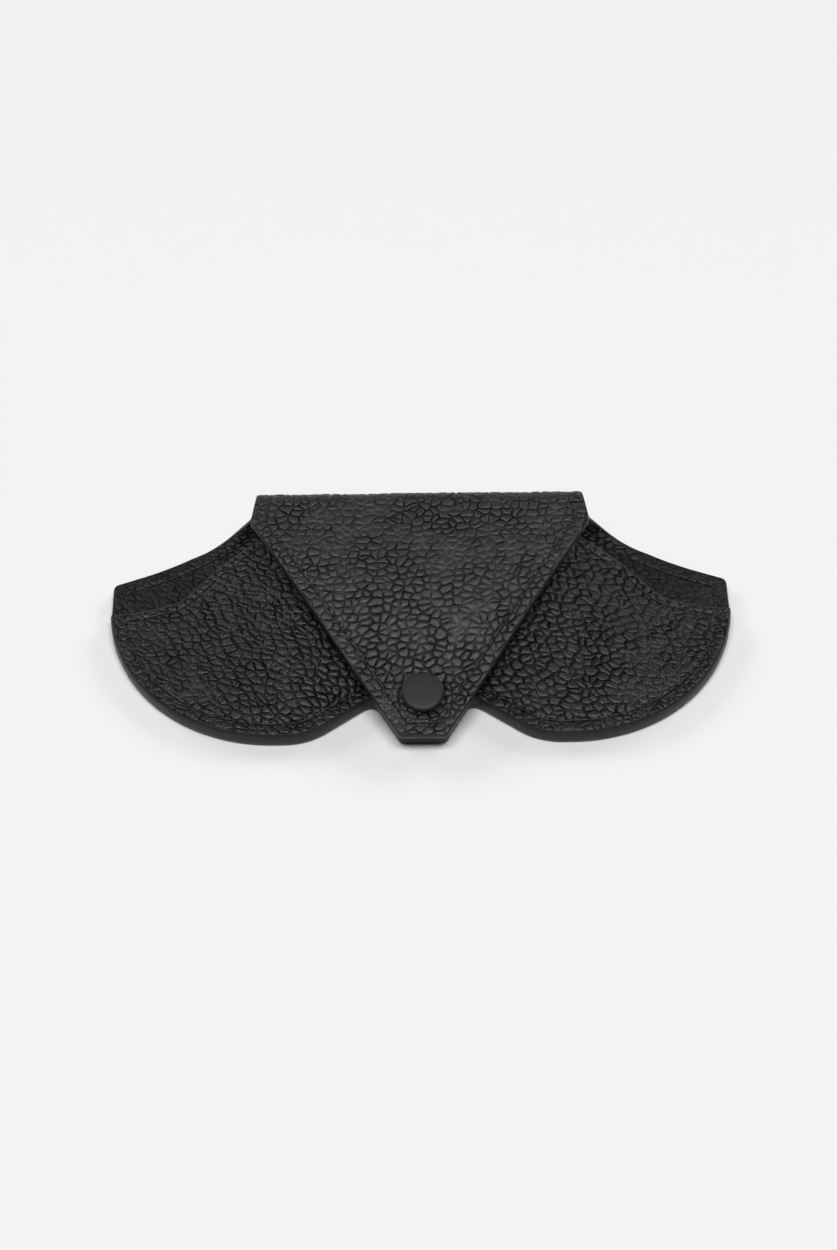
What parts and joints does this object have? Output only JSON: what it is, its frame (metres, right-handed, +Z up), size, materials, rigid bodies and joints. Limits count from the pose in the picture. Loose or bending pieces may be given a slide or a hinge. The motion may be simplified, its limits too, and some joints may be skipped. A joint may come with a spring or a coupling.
{
  "type": "soft pouch glasses case",
  "caption": "Soft black pebbled-leather pouch for glasses with two round lobes, a triangular fold-over flap, stitched edges and one snap.",
  "frame": {"origin": "middle of the case's footprint, on the surface it lies on", "axes": "+X along the width, +Y from the lobes to the fold, +Z up from the back panel to the flap"},
  "size_m": [0.177, 0.0816, 0.0257],
  "materials": {
    "leather": "pebbled, semi-matte, black",
    "lining": "pebbled, matte, black",
    "thread": "waxed thread, black",
    "cap_metal": "matte gunmetal paint",
    "snap_metal": "black nickel"
  },
  "bodies": {
    "pouch": {"back_panel_leather": "leather", "back_panel_lining": "lining", "front_panel_leather": "leather", "front_panel_lining": "lining", "body_seam_thread": "thread", "mouth_seam_thread": "thread", "snap_stud": "snap_metal", "snap_stud_post": "snap_metal"},
    "spine": {"spine_leather": "leather", "spine_lining": "lining", "spine_seam_thread_left": "thread", "spine_seam_thread_right": "thread"},
    "flap": {"flap_leather": "leather", "flap_lining": "lining", "flap_seam_thread": "thread", "snap_cap": "cap_metal", "snap_socket": "snap_metal"}
  },
  "joints": [
    {"name": "spine_bend", "type": "hinge", "parent": "pouch", "child": "spine", "pos_m": [0, 0.03972, 0.00815], "axis": [-1, 0, 0], "range_deg": [0, 90]},
    {"name": "flap_bend", "type": "hinge", "parent": "spine", "child": "flap", "pos_m": [0, 0.03328, 0.02441], "axis": [-1, 0, 0], "range_deg": [0, 95]}
  ]
}
